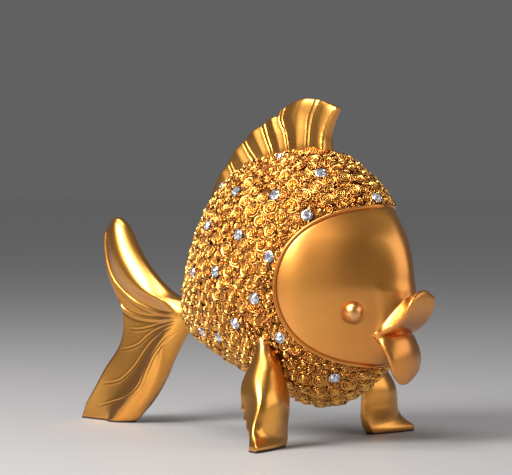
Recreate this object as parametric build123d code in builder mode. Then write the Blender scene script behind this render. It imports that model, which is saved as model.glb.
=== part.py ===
from build123d import *
import os
from bisect import bisect_left
from itertools import accumulate
from math import cos, radians, sin, sqrt

os.makedirs("parts", exist_ok=True)

# A free-standing gold fish ornament in cast resin, in millimetres.
# +X points from tail to nose, +Y to the fish's left and +Z up.
# The origin lies on the table under the middle of the figure.

# Body casting: a hollow rounded shell
body_back_x = -36.0
body_low_z = 19.0
body_length = 144.3
body_height = 128.5
body_width = 88.0
wall_thickness = 4.4

# Face mask: the smooth round shell that closes the body's open front
mask_radius = 40.2
mask_lap = 2.6
mask_glue_gap = 0.12

# Bead over the seam between mask and body
rim_width = 1.9
rim_height = 1.2

# Ball eyes, each with a stem in a bore and a ring groove around it
eye_diameter = 10.4
eye_socket_diameter = 11.8
eye_socket_depth = 1.0
eye_stem_diameter = 4.0
eye_stem_length = 5.2

# Lips, each with a round tenon in the mask
upper_lip_length = 25.0
upper_lip_width = 29.6
upper_lip_height = 23.0
upper_lip_curl_radius = 23.6
upper_lip_reach = 9.3
lip_edge_thickness = 0.9
lower_lip_height = 24.4
lower_lip_width = 27.6
lower_lip_depth = 13.4
lower_lip_set_back = 12.3
tenon_diameter = 6.0
tenon_depth = 3.6
tenon_root = 2.5

# Dorsal fin
dorsal_length = 88.8
dorsal_rise = 27.4
dorsal_front_thickness = 17.0
dorsal_middle_thickness = 9.0
dorsal_rear_thickness = 6.4
dorsal_crest_thickness = 2.0
dorsal_groove_width = 1.3
dorsal_groove_depth = 0.7

# Tail fin, whose lower lobe is the third foot
tail_length = 81.8
tail_horn_height = 51.3
tail_bar_thickness = 14.4
tail_web_thickness = 6.4
tail_edge_thickness = 2.2
tail_root_sink = 3.0

# Chest fins, which serve as front legs
leg_depth = 22.0
leg_spread = 26.0
leg_front_bow = 0.9

# Steel dowels that carry the fins
pin_diameter = 4.0
pin_length = 17.0
leg_pin_length = 15.0
pin_reach = 9.5

# Felt pads under the three feet
pad_thickness = 0.8

# Set stones with flat backs, and their cups
stone_diameter = 4.7
stone_girdle = 0.6
stone_crown_height = 1.2
stone_crown_angle = 40
cup_diameter = 6.1
cup_height = 1.3
cup_floor = 0.4
cup_glue_gap = 0.04
facet_count = 8

# Rose relief: castings of one form, glued all over the body outside the face
rosette_diameter = 6.5
rosette_petal_height = 1.0
rosette_bud_diameter = 3.6
rosette_bud_height = 0.6
rosette_taper = 22
rosette_spacing = 8.3
rosette_glue_gap = 0.1
petal_count = 5

# Running fit of each peg in its hole, and the overrun of a cut past a wall
peg_clearance = 0.1
overrun = 2.0

# Body cross sections from tail end to nose, as shares: place along the length, then lowest point,
# widest point and highest point up the height, then half width
body_section_shares = [
    (0.000, 0.267, 0.366, 0.475, 0.136),
    (0.042, 0.245, 0.381, 0.584, 0.273),
    (0.097, 0.218, 0.412, 0.689, 0.443),
    (0.166, 0.187, 0.451, 0.802, 0.636),
    (0.263, 0.140, 0.482, 0.914, 0.841),
    (0.388, 0.089, 0.490, 0.973, 0.966),
    (0.527, 0.027, 0.479, 1.000, 1.000),
    (0.651, 0.000, 0.467, 0.996, 0.955),
    (0.748, 0.039, 0.459, 0.946, 0.841),
    (0.831, 0.109, 0.451, 0.875, 0.670),
    (0.894, 0.179, 0.444, 0.798, 0.489),
    (0.942, 0.245, 0.436, 0.720, 0.307),
    (0.974, 0.304, 0.436, 0.646, 0.182),
    (0.991, 0.350, 0.444, 0.584, 0.102),
]
nose_height_share = 0.459

# Places on the body, as shares of its length and height
centre_shares = (0.492, 0.490)
mask_centre_shares = (0.918, 0.476)
mouth_height_share = 0.288
neck_height_share = 0.330

nose_x = body_back_x + body_length
body_top_z = body_low_z + body_height
body_centre = (
    body_back_x + centre_shares[0] * body_length,
    0,
    body_low_z + centre_shares[1] * body_height,
)
mask_centre = (
    body_back_x + mask_centre_shares[0] * body_length,
    body_low_z + mask_centre_shares[1] * body_height,
)
mouth_z = body_low_z + mouth_height_share * body_height
neck_z = body_low_z + neck_height_share * body_height


def body_form(inset):
    """The body's solid form, set in by inset on every side."""
    length = body_length - 2 * inset
    height = body_height - 2 * inset
    half_width = body_width / 2 - inset
    low_z = body_low_z + inset
    back_x = body_back_x + inset
    sections = []
    for station, low, wide, top, width in body_section_shares:
        with BuildSketch(Plane.YZ.offset(back_x + station * length)) as section:
            with BuildLine():
                for quarter, rise in enumerate((top - wide, top - wide, wide - low, wide - low)):
                    EllipticalCenterArc(
                        (0, low_z + wide * height),
                        width * half_width,
                        rise * height,
                        start_angle=90 * quarter,
                        arc_size=90,
                    )
            make_face()
        sections.append(section.sketch)
    nose = Vertex(back_x + length, 0, low_z + nose_height_share * height)
    with BuildPart() as form:
        loft([*sections, nose])
    return form.part


def mask_cylinder(radius):
    """A cylinder across the body, on the axis of the round face."""
    with BuildPart() as cylinder:
        with BuildSketch(Plane.XZ):
            with Locations(mask_centre):
                Circle(radius)
        extrude(amount=body_width, both=True)
    return cylinder.part


outer_form = body_form(0)
lap_form = body_form(wall_thickness / 2)
inner_form = body_form(wall_thickness)
outer_skin = outer_form.shells()[0]


def skin_plane(origin, direction):
    """The plane that touches the body's skin where a ray from origin meets it."""
    reach = Vector(*direction)
    hits = outer_skin.find_intersection_points(Axis(origin, direction))
    ahead = [hit for hit in hits if (hit[0] - Vector(*origin)).dot(reach) > 0]
    point, normal = max(ahead, key=lambda hit: (hit[0] - Vector(*origin)).length)
    if normal.dot(reach) < 0:
        normal = -normal
    return Plane(origin=point, z_dir=normal)


def heading(azimuth, elevation):
    """A direction from its angle round the body, from +X to +Y, and its angle above the table."""
    level = cos(radians(elevation))
    return (level * cos(radians(azimuth)), level * sin(radians(azimuth)), sin(radians(elevation)))


# Seats on the skin: eyes, lips and dowels
eye_azimuth = 22.3
eye_elevation = -12.8
eye_planes = {
    "right": skin_plane(body_centre, heading(-eye_azimuth, eye_elevation)),
    "left": skin_plane(body_centre, heading(eye_azimuth, eye_elevation)),
}
upper_tenon_height_share = 0.385
lower_tenon_height_share = 0.230
tenon_planes = {
    "upper": skin_plane((body_centre[0], 0, body_low_z + upper_tenon_height_share * body_height), (1, 0, 0)),
    "lower": skin_plane((body_centre[0], 0, body_low_z + lower_tenon_height_share * body_height), (1, 0, 0)),
}
dorsal_pin_station_shares = (0.330, 0.590)
dorsal_pin_planes = [
    skin_plane((body_back_x + station * body_length, 0, body_centre[2]), (0, 0, 1))
    for station in dorsal_pin_station_shares
]
leg_pin_station_share = 0.582
leg_pin_height_share = 0.210
leg_pin_x = body_back_x + leg_pin_station_share * body_length
leg_pin_z = body_low_z + leg_pin_height_share * body_height
leg_pin_skin_y = skin_plane((leg_pin_x, 0, leg_pin_z), (0, 1, 0)).origin.Y

# Stones on the body, as angles round it and above the table, in degrees
stone_directions = [
    (-90, 80), (-30, 56), (-115, 54), (-150, 52), (-67, 51), (-4, 37),
    (-43, 36), (-131, 32), (-94, 30), (-67, 16), (-140, 4), (-112, 6),
    (-77, -10), (-97, -27), (-60, -31), (-146, -30), (-124, -36), (-25, -46),
    (96, 70), (142, 50), (72, 54), (36, 52), (118, 33), (90, 31),
    (60, 31), (149, 21), (131, 7), (106, 10), (80, -7), (119, -19),
    (95, -31), (51, -37), (146, -14), (138, -36), (24, -49), (168, 8),
]
stone_planes = [skin_plane(body_centre, heading(*direction)) for direction in stone_directions]


# Dowels, each at its own start plane, running out through the body's wall
pin_planes = {
    "tail_pin": [Plane(origin=(body_back_x + pin_reach, 0, neck_z), z_dir=(-1, 0, 0))],
    "dorsal_pins": [
        Plane(origin=(plane.origin.X, 0, plane.origin.Z - pin_reach), z_dir=(0, 0, 1))
        for plane in dorsal_pin_planes
    ],
    "right_leg_pin": [Plane(origin=(leg_pin_x, pin_reach - leg_pin_skin_y, leg_pin_z), z_dir=(0, -1, 0))],
    "left_leg_pin": [Plane(origin=(leg_pin_x, leg_pin_skin_y - pin_reach, leg_pin_z), z_dir=(0, 1, 0))],
}
bore_parts = {}
for name, planes in pin_planes.items():
    length = leg_pin_length if "leg" in name else pin_length
    with BuildPart() as pins:
        for plane in planes:
            with BuildSketch(plane):
                Circle(pin_diameter / 2)
            extrude(amount=length)
    pins.part.label = name
    export_step(pins.part, f"parts/{name}.step")
    with BuildPart() as bores:
        for plane in planes:
            with BuildSketch(plane.offset(-peg_clearance)):
                Circle((pin_diameter + peg_clearance) / 2)
            extrude(amount=length + 2 * peg_clearance)
    bore_parts[name] = bores.part

# Cups: faceted tubs glued on the skin, each with a pocket for its stone
cup_bottoms = [plane.offset(cup_glue_gap) for plane in stone_planes]
cup_floors = [plane.offset(cup_floor) for plane in cup_bottoms]
girdle_tops = [plane.offset(stone_girdle) for plane in cup_floors]

with BuildPart() as stone_cups:
    with BuildSketch(*cup_bottoms):
        RegularPolygon(cup_diameter / 2, facet_count)
    extrude(amount=cup_height)
    with BuildSketch(*cup_floors):
        RegularPolygon((stone_diameter + peg_clearance) / 2, facet_count)
    extrude(amount=cup_height, mode=Mode.SUBTRACT)
stone_cups.part.label = "stone_cups"
export_step(stone_cups.part, "parts/stone_cups.step")

# Stones: a girdle with a flat back, and a crown cut up to a small table
with BuildPart() as rhinestones:
    with BuildSketch(*cup_floors):
        RegularPolygon(stone_diameter / 2, facet_count)
    extrude(amount=stone_girdle)
    with BuildSketch(*girdle_tops):
        RegularPolygon(stone_diameter / 2, facet_count)
    extrude(amount=stone_crown_height, taper=stone_crown_angle)
rhinestones.part.label = "rhinestones"
export_step(rhinestones.part, "parts/rhinestones.step")

# Body shell: an even wall, with a lap ledge round its open front
mask_bore = mask_cylinder(mask_radius)
mask_plug = mask_cylinder(mask_radius - mask_glue_gap)
ledge_bore = mask_cylinder(mask_radius - mask_lap)
ledge_plug = mask_cylinder(mask_radius - mask_lap - mask_glue_gap)

with BuildPart() as lap_recess:
    add(mask_bore)
    add(lap_form, mode=Mode.SUBTRACT)

with BuildPart() as body_shell:
    add(outer_form)
    add(inner_form, mode=Mode.SUBTRACT)
    add(ledge_bore, mode=Mode.SUBTRACT)
    add(lap_recess.part, mode=Mode.SUBTRACT)
    for bores in bore_parts.values():
        add(bores, mode=Mode.SUBTRACT)
body_shell.part.label = "body_shell"
export_step(body_shell.part, "parts/body_shell.step")

# Eyes: a domed ball on a stem, seated on the floor of its socket
for side, plane in eye_planes.items():
    with BuildPart(plane.offset(-eye_socket_depth)) as eye:
        Sphere(eye_diameter / 2, arc_size1=0, arc_size2=90, align=(Align.CENTER, Align.CENTER, Align.MIN))
        Cylinder(eye_stem_diameter / 2, eye_stem_length, align=(Align.CENTER, Align.CENTER, Align.MAX))
    eye.part.label = f"{side}_eye"
    export_step(eye.part, f"parts/{side}_eye.step")

# Face mask: the rest of the wall, rebated over the body's ledge, with sockets and mortises
with BuildPart() as mask_rebate:
    add(lap_form)
    add(ledge_plug, mode=Mode.SUBTRACT)

with BuildPart() as face_mask:
    add(outer_form)
    add(inner_form, mode=Mode.SUBTRACT)
    add(mask_plug, mode=Mode.INTERSECT)
    add(mask_rebate.part, mode=Mode.SUBTRACT)
    for plane in eye_planes.values():
        with BuildSketch(plane.offset(-eye_socket_depth)):
            Circle(eye_socket_diameter / 2)
        extrude(amount=eye_socket_depth + overrun, mode=Mode.SUBTRACT)
        with BuildSketch(plane.offset(-eye_socket_depth - eye_stem_length)):
            Circle((eye_stem_diameter + peg_clearance) / 2)
        extrude(amount=eye_stem_length + overrun, mode=Mode.SUBTRACT)
    for plane in tenon_planes.values():
        with BuildSketch(Plane.YZ.offset(plane.origin.X - tenon_depth - peg_clearance)):
            with Locations((0, plane.origin.Z)):
                Circle((tenon_diameter + peg_clearance) / 2)
        extrude(amount=tenon_depth + tenon_root + overrun, mode=Mode.SUBTRACT)
face_mask.part.label = "face_mask"
export_step(face_mask.part, "parts/face_mask.step")

# Rim bead over the seam
with BuildPart() as rim_ring:
    add(mask_cylinder(mask_radius + rim_width / 2))
    add(mask_cylinder(mask_radius - rim_width / 2), mode=Mode.SUBTRACT)

with BuildPart() as face_rim:
    add(body_form(-rim_height))
    add(outer_form, mode=Mode.SUBTRACT)
    add(rim_ring.part, mode=Mode.INTERSECT)
face_rim.part.label = "face_rim"
export_step(face_rim.part, "parts/face_rim.step")

# Upper lip: bell-shaped sections from face to tip, flared to a rim that curls up on an arc
upper_lip_section_shares = [
    (0.00, 1.00, 0.72),
    (0.16, 0.99, 0.73),
    (0.30, 0.94, 0.73),
    (0.46, 0.89, 0.74),
    (0.66, 0.83, 0.80),
    (0.85, 0.77, 0.92),
    (0.95, 0.66, 0.985),
    (0.985, 0.50, 1.00),
]
bell_shares = [(0.78, 0.20), (0.44, 0.70)]
lip_tip_x = nose_x + upper_lip_reach
curl_centre = (lip_tip_x - upper_lip_curl_radius, mouth_z + upper_lip_curl_radius)


def curl_rim_z(x):
    """Height of the upper lip's rim, on the curl's arc."""
    return curl_centre[1] - sqrt(upper_lip_curl_radius**2 - (x - curl_centre[0]) ** 2)


upper_sections = []
for station, width, rise in upper_lip_section_shares:
    x = lip_tip_x - (1 - station) * upper_lip_length
    half = width * upper_lip_width / 2
    rim_z = curl_rim_z(x)
    edge_z = rim_z + lip_edge_thickness
    crown = mouth_z + rise * upper_lip_height - edge_z
    flank = [(half, edge_z), *[(out * half, edge_z + up * crown) for out, up in bell_shares]]
    with BuildSketch(Plane.YZ.offset(x)) as section:
        with BuildLine():
            Spline(*flank, (0, edge_z + crown), *[(-y, z) for y, z in reversed(flank)])
            Polyline((-half, edge_z), (-half, rim_z - overrun), (half, rim_z - overrun), (half, edge_z))
        make_face()
    upper_sections.append(section.sketch)

with BuildPart() as curl_cylinder:
    with BuildSketch(Plane.XZ):
        with Locations(curl_centre):
            Circle(upper_lip_curl_radius)
    extrude(amount=upper_lip_width, both=True)

with BuildPart() as upper_lip:
    loft(upper_sections)
    add(curl_cylinder.part, mode=Mode.INTERSECT)
    add(outer_form, mode=Mode.SUBTRACT)
    with BuildSketch(Plane.YZ.offset(tenon_planes["upper"].origin.X - tenon_depth)):
        with Locations((0, tenon_planes["upper"].origin.Z)):
            Circle(tenon_diameter / 2)
    extrude(amount=tenon_depth + tenon_root)
upper_lip.part.label = "upper_lip"
export_step(upper_lip.part, "parts/upper_lip.step")

# Lower lip: lens-shaped sections from mouth to tip, as shares: drop, half width,
# then rim, front and back along the lip's depth
lower_lip_section_shares = [
    (0.00, 1.07, 0.03, 0.76, -0.08),
    (0.13, 1.01, 0.27, 0.90, 0.00),
    (0.26, 1.00, 0.50, 0.97, 0.07),
    (0.45, 0.95, 0.69, 1.00, 0.26),
    (0.68, 0.84, 0.75, 0.94, 0.46),
    (0.88, 0.54, 0.68, 0.82, 0.55),
    (1.00, 0.20, 0.62, 0.69, 0.58),
]
lip_back_x = nose_x - lower_lip_set_back
lower_sections = []
for drop, width, rim, front, back in lower_lip_section_shares:
    half = width * lower_lip_width / 2
    rim_x, front_x, back_x = [lip_back_x + share * lower_lip_depth for share in (rim, front, back)]
    with BuildSketch(Plane.XY.offset(mouth_z - drop * lower_lip_height)) as section:
        with BuildLine():
            ThreePointArc((rim_x, -half), (front_x, 0), (rim_x, half))
            ThreePointArc((rim_x, half), (back_x, 0), (rim_x, -half))
        make_face()
    lower_sections.append(section.sketch)

with BuildPart() as lower_lip:
    loft(lower_sections)
    add(outer_form, mode=Mode.SUBTRACT)
    with BuildSketch(Plane.YZ.offset(tenon_planes["lower"].origin.X - tenon_depth)):
        with Locations((0, tenon_planes["lower"].origin.Z)):
            Circle(tenon_diameter / 2)
    extrude(amount=tenon_depth + tenon_root)
lower_lip.part.label = "lower_lip"
export_step(lower_lip.part, "parts/lower_lip.step")

# Dorsal fin: its outline as shares of length and of rise over the back
dorsal_tip_station_share = 0.699
dorsal_tip_x = body_back_x + dorsal_tip_station_share * body_length


def dorsal_point(share):
    """A point of the fin's side view, from its shares behind the tip and above the back."""
    return (dorsal_tip_x - share[0] * dorsal_length, body_top_z + share[1] * dorsal_rise)


crest_front_shares = [(0.00, 0.81), (0.10, 0.93), (0.22, 1.00), (0.34, 0.93), (0.435, 0.80)]
crest_rear_shares = [(0.46, 0.69), (0.60, 0.48), (0.71, 0.23), (0.82, -0.14), (0.92, -0.62), (1.00, -1.48)]
leading_shares = [(0.07, -0.42), (0.083, 0.05), (0.082, 0.30), (0.050, 0.56), (0.00, 0.81)]
root_shares = [(1.00, -1.48), (0.98, -1.70), (0.67, -0.82), (0.30, -0.42), (0.07, -0.42)]
groove_share_lines = [
    [(0.145, 1.05), (0.190, 0.52), (0.245, 0.05), (0.255, -0.40)],
    [(0.405, 0.95), (0.452, 0.65), (0.405, 0.43), (0.367, 0.05), (0.340, -0.40)],
    [(0.545, 0.56), (0.510, 0.20), (0.470, -0.12), (0.440, -0.45)],
    [(0.715, 0.30), (0.660, 0.00), (0.590, -0.40)],
    [(0.830, -0.12), (0.795, -0.43), (0.760, -0.70)],
]


# The wedge's rear, middle and front sections, as shares behind the tip, and of rise at root and crest
wedge_section_shares = [(1.05, -2.00, 0.60), (0.50, -1.10, 1.10), (-0.05, -0.60, 1.02)]
wedge_thicknesses = [dorsal_rear_thickness, dorsal_middle_thickness, dorsal_front_thickness]


def dorsal_wedge(inset):
    """The fin's thickness, from its rear end to its front, thinner by inset on each side of the root."""
    top_half = (dorsal_crest_thickness - inset) / 2
    sections = []
    for (behind, low, high), thickness in zip(wedge_section_shares, wedge_thicknesses):
        x, low_z = dorsal_point((behind, low))
        high_z = dorsal_point((behind, high))[1]
        root_half = thickness / 2 - inset
        with BuildSketch(Plane.YZ.offset(x)) as section:
            with BuildLine():
                Polyline(
                    (-root_half, low_z),
                    (root_half, low_z),
                    (top_half, high_z),
                    (-top_half, high_z),
                    close=True,
                )
            make_face()
        sections.append(section.sketch)
    with BuildPart() as wedge:
        loft(sections)
    return wedge.part


with BuildPart() as dorsal_slab:
    with BuildSketch(Plane.XZ):
        with BuildLine():
            Spline(*map(dorsal_point, crest_front_shares))
            Line(dorsal_point(crest_front_shares[-1]), dorsal_point(crest_rear_shares[0]))
            Spline(*map(dorsal_point, crest_rear_shares))
            Polyline(*map(dorsal_point, root_shares))
            Spline(*map(dorsal_point, leading_shares))
        make_face()
    extrude(amount=dorsal_front_thickness, both=True)

with BuildPart() as groove_strips:
    for line in groove_share_lines:
        with BuildSketch(Plane.XZ):
            with BuildLine():
                Spline(*map(dorsal_point, line))
            trace(line_width=dorsal_groove_width)
        extrude(amount=dorsal_front_thickness, both=True)

with BuildPart() as dorsal_panels:
    add(dorsal_wedge(0))
    add(dorsal_slab.part, mode=Mode.INTERSECT)
    add(groove_strips.part, mode=Mode.SUBTRACT)

with BuildPart() as dorsal_fin:
    add(dorsal_wedge(dorsal_groove_depth))
    add(dorsal_slab.part, mode=Mode.INTERSECT)
    add(dorsal_panels.part)
    add(outer_form, mode=Mode.SUBTRACT)
    add(bore_parts["dorsal_pins"], mode=Mode.SUBTRACT)
dorsal_fin.part.label = "dorsal_fin"
export_step(dorsal_fin.part, "parts/dorsal_fin.step")

# Tail fin: level sections from the foot up to the horn's tip, as shares: height, then
# trailing edge, ridge and front behind the body, and the bar's thickness
tail_foot_shares = [
    (0.00, 1.000, 0.750, 0.541, 0.84),
    (0.10, 0.972, 0.670, 0.424, 0.92),
    (0.21, 0.910, 0.578, 0.350, 0.98),
    (0.34, 0.836, 0.474, 0.274, 1.00),
    (0.49, 0.763, 0.387, 0.203, 1.00),
    (0.65, 0.664, 0.307, 0.129, 1.00),
    (0.81, 0.613, 0.234, 0.043, 1.00),
]
tail_root_share = (0.625, 0.180)
tail_horn_shares = [
    (0.10, 0.656, 0.250, 0.005, 1.00),
    (0.19, 0.689, 0.440, 0.122, 1.00),
    (0.31, 0.733, 0.590, 0.247, 1.00),
    (0.46, 0.770, 0.664, 0.354, 0.98),
    (0.62, 0.786, 0.701, 0.443, 0.93),
    (0.78, 0.780, 0.712, 0.508, 0.82),
    (0.90, 0.753, 0.701, 0.556, 0.65),
    (0.97, 0.720, 0.689, 0.603, 0.42),
    (1.00, 0.692, 0.676, 0.642, 0.20),
]
bar_shares = [(0.28, 1.00), (0.84, 0.62)]


def tail_section(z, trailing_x, ridge_x, front_x, swell):
    """One level section: a thin web up to the ridge, then the round bar in front of it."""
    web = swell * tail_web_thickness / 2
    bar = swell * tail_bar_thickness / 2
    edge = swell * tail_edge_thickness / 2
    span = front_x - ridge_x
    side = [(ridge_x, web), *[(ridge_x + along * span, out * bar) for along, out in bar_shares]]
    with BuildSketch(Plane.XY.offset(z)) as section:
        with BuildLine():
            Spline(*side, (front_x, 0), *[(x, -y) for x, y in reversed(side)])
            Polyline((ridge_x, -web), (trailing_x, -edge), (trailing_x, edge), (ridge_x, web))
        make_face()
    return section.sketch


def behind_body(share):
    """A place along the tail, from its share of the tail's length behind the body."""
    return body_back_x - share * tail_length


tail_sections = [
    tail_section(rise * neck_z, behind_body(trailing), behind_body(ridge), behind_body(front), swell)
    for rise, trailing, ridge, front, swell in tail_foot_shares
]
tail_sections.append(
    tail_section(
        neck_z,
        behind_body(tail_root_share[0]),
        behind_body(tail_root_share[1]),
        body_back_x + tail_root_sink,
        1,
    )
)
tail_sections += [
    tail_section(
        neck_z + rise * tail_horn_height,
        behind_body(trailing),
        behind_body(ridge),
        behind_body(front),
        swell,
    )
    for rise, trailing, ridge, front, swell in tail_horn_shares
]

with BuildPart() as tail_fin:
    loft(tail_sections)
    add(outer_form, mode=Mode.SUBTRACT)
    add(bore_parts["tail_pin"], mode=Mode.SUBTRACT)
    split(bisect_by=Plane.XY.offset(pad_thickness), keep=Keep.TOP)
tail_fin.part.label = "tail_fin"
export_step(tail_fin.part, "parts/tail_fin.step")

# Chest fins: level sections of a folded leaf, from the table up to the root on the body's side,
# as shares: height, then the toe ridge, inner front, inner back, fold and trailing leaf, each
# ahead of the root along the leaf's depth and outwards along its spread
leg_section_shares = [
    (0.000, (0.76, 1.00), (0.57, -0.10), (0.32, -0.04), (0.34, 0.67), (0.50, 0.90)),
    (0.125, (0.67, 0.94), (0.52, -0.29), (0.25, -0.21), (0.30, 0.60), (0.39, 0.82)),
    (0.296, (0.62, 0.77), (0.54, -0.33), (0.30, -0.27), (0.27, 0.40), (-0.05, 0.52)),
    (0.480, (0.59, 0.65), (0.55, -0.30), (0.31, -0.29), (0.20, 0.27), (-0.23, 0.45)),
    (0.643, (0.34, 0.48), (0.45, -0.24), (0.20, -0.33), (0.02, -0.02), (-0.23, 0.32)),
    (0.760, (0.23, 0.30), (0.39, -0.21), (0.14, -0.44), (-0.07, -0.21), (-0.20, 0.15)),
    (0.875, (0.11, 0.12), (0.32, -0.19), (0.14, -0.48), (-0.11, -0.25), (-0.18, 0.06)),
    (1.000, (0.00, 0.02), (0.18, -0.15), (0.07, -0.40), (-0.07, -0.21), (-0.07, -0.02)),
]
leg_root_shares = (0.568, 0.288, 0.898)
leg_root_x = body_back_x + leg_root_shares[0] * body_length
leg_root_z = body_low_z + leg_root_shares[1] * body_height
leg_root_y = leg_root_shares[2] * body_width / 2

leg_sections = []
for rise, *corner_shares in leg_section_shares:
    toe, inner, inner_back, fold, trailing = [
        (leg_root_x + ahead * leg_depth, leg_root_y + outward * leg_spread)
        for ahead, outward in corner_shares
    ]
    bow = ((toe[0] + inner[0]) / 2 + leg_front_bow, (toe[1] + inner[1]) / 2)
    with BuildSketch(Plane.XY.offset(rise * leg_root_z)) as section:
        with BuildLine():
            ThreePointArc(inner, bow, toe)
            Polyline(toe, trailing, fold, inner_back, inner)
        make_face()
    leg_sections.append(section.sketch)

with BuildPart() as left_pectoral_fin:
    loft(leg_sections)
    add(outer_form, mode=Mode.SUBTRACT)
    add(bore_parts["left_leg_pin"], mode=Mode.SUBTRACT)
    split(bisect_by=Plane.XY.offset(pad_thickness), keep=Keep.TOP)
left_pectoral_fin.part.label = "left_pectoral_fin"
export_step(left_pectoral_fin.part, "parts/left_pectoral_fin.step")

with BuildPart() as right_pectoral_fin:
    mirror(left_pectoral_fin.part, about=Plane.XZ)
right_pectoral_fin.part.label = "right_pectoral_fin"
export_step(right_pectoral_fin.part, "parts/right_pectoral_fin.step")

# Felt pads, cut to the sole of each foot
feet = {
    "tail_foot_pad": tail_fin.part,
    "left_foot_pad": left_pectoral_fin.part,
    "right_foot_pad": right_pectoral_fin.part,
}
for name, fin in feet.items():
    sole = fin.faces().sort_by(Axis.Z)[0]
    with BuildPart() as pad:
        extrude(sole, amount=pad_thickness, dir=(0, 0, -1))
    pad.part.label = name
    export_step(pad.part, f"parts/{name}.step")

# Rose relief, set out like seeds on a seed head: each rosette follows the last by the golden share
# of a turn, and the same area of skin lies between them
golden_share = (sqrt(5) - 1) / 2
length_steps = 60
quarter_steps = 8
skin_quarters = [face for face in outer_form.faces() if face.bounding_box().size.X > body_length / 2]


def skin_ring(along):
    """Points round the skin at a share of its length, from the left side over the back."""
    return [
        quarter.position_at(step / quarter_steps, along)
        for quarter in skin_quarters
        for step in range(quarter_steps)
    ]


def running_lengths(points):
    """Length covered on reaching each point in turn, and then the first one again."""
    return [0, *accumulate((b - a).length for a, b in zip(points, points[1:] + points[:1]))]


rings = [skin_ring(step / length_steps) for step in range(length_steps + 1)]
bands = [
    running_lengths(ring)[-1] * sum((b - a).length for a, b in zip(ring, following)) / len(ring)
    for ring, following in zip(rings, rings[1:])
]
covered = [0, *accumulate(bands)]
rosette_count = round(covered[-1] / rosette_spacing**2)


def share_at(totals, goal):
    """How far along a rising list of totals a goal lies, as a share of its steps."""
    step = bisect_left(totals, goal)
    return (step - 1 + (goal - totals[step - 1]) / (totals[step] - totals[step - 1])) / (len(totals) - 1)


def rosette_plane(index):
    """The plane that touches the skin under one rosette."""
    along = share_at(covered, (index + golden_share) / (rosette_count + 1) * covered[-1])
    lengths = running_lengths(skin_ring(along))
    turn = share_at(lengths, (golden_share * (index + 1)) % 1 * lengths[-1])
    quarter = skin_quarters[int(turn * len(skin_quarters))]
    place = turn * len(skin_quarters) % 1
    return Plane(origin=quarter.position_at(place, along), z_dir=quarter.normal_at(place, along))


fin_boxes = [
    fin.part.bounding_box() for fin in (dorsal_fin, tail_fin, left_pectoral_fin, right_pectoral_fin)
]


def is_clear(place):
    """Whether a rosette at this place stays off the face's rim, the stones and the fins."""
    room = rosette_diameter / 2
    from_face = sqrt((place.X - mask_centre[0]) ** 2 + (place.Z - mask_centre[1]) ** 2)
    if from_face < mask_radius + rim_width + room:
        return False
    if any((place - stone.origin).length < cup_diameter / 2 + room for stone in stone_planes):
        return False
    return not any(
        box.min.X - room < place.X < box.max.X + room
        and box.min.Y - room < place.Y < box.max.Y + room
        and box.min.Z - room < place.Z < box.max.Z + room
        for box in fin_boxes
    )


rosette_seats = [plane for plane in map(rosette_plane, range(rosette_count)) if is_clear(plane.origin)]

# One rosette, a ring of petals with a bud on it, and its copies on the skin
petal_base = Plane.XY.offset(rosette_glue_gap)
with BuildPart() as rosette:
    with BuildSketch(petal_base):
        RegularPolygon(rosette_diameter / 2, petal_count)
    extrude(amount=rosette_petal_height, taper=rosette_taper)
    with BuildSketch(petal_base.offset(rosette_petal_height)):
        RegularPolygon(rosette_bud_diameter / 2, petal_count, rotation=180 / petal_count)
    extrude(amount=rosette_bud_height, taper=rosette_taper)

rosettes = Compound(
    label="rosettes",
    children=[seat.location * rosette.part.solid() for seat in rosette_seats],
)
export_step(rosettes, "parts/rosettes.step")
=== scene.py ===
from math import cos, pi, radians, sin, sqrt

import bmesh
import bpy
import numpy as np
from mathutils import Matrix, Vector
from mathutils.bvhtree import BVHTree


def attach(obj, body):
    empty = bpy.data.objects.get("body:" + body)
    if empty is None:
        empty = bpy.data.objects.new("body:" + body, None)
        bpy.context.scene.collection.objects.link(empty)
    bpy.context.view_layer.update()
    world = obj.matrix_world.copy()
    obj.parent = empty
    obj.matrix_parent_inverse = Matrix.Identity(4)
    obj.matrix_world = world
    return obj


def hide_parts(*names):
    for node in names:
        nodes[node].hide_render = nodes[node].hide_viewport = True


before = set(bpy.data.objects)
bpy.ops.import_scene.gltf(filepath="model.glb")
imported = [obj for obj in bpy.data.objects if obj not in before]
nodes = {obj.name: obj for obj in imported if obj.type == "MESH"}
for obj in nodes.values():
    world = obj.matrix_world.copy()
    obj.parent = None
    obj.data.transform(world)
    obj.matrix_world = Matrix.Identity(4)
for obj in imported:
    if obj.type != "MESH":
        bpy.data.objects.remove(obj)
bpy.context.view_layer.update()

# Sizes are in millimetres, and MM turns them into the scene's metres. Places are x from tail to face,
# y from the middle plane and z up from the table. A pair of places is the span over which an effect
# grows or fades. Steps are rounds of smoothing, each over about one voxel.
MM = 0.001

# The body, its round face and the seam bead between them
BODY_CENTRE = np.array((35.0, 0.0, 82.0))
FACE_CENTRE = (96.47, 80.17)
BEAD_RADIUS = 40.15
BEAD_HALF_WIDTH = 0.95
BEAD_HEIGHT = 1.35
BEAD_ROWS = 360
BEAD_SIDES = 12

# The seam is found by rays from each side, just inside and just outside the bead's radius, over the arc
# on which they hit the head far enough from the middle plane. Its line is then evened twice.
BEAD_ARC = (0.35 * pi, 1.75 * pi)
BEAD_PROBES = 400
BEAD_PROBE_STEP = 0.5
BEAD_NEAREST_Y = (1.2, 0.6)
BEAD_EVENING = (12, 3)

# Where rays start, and how far the seam's rays reach
BESIDE_FACE = 60.0
BESIDE_FACE_RANGE = 59.9
AHEAD_OF_FACE = 300.0
OUTSIDE_BODY = 200.0

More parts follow.
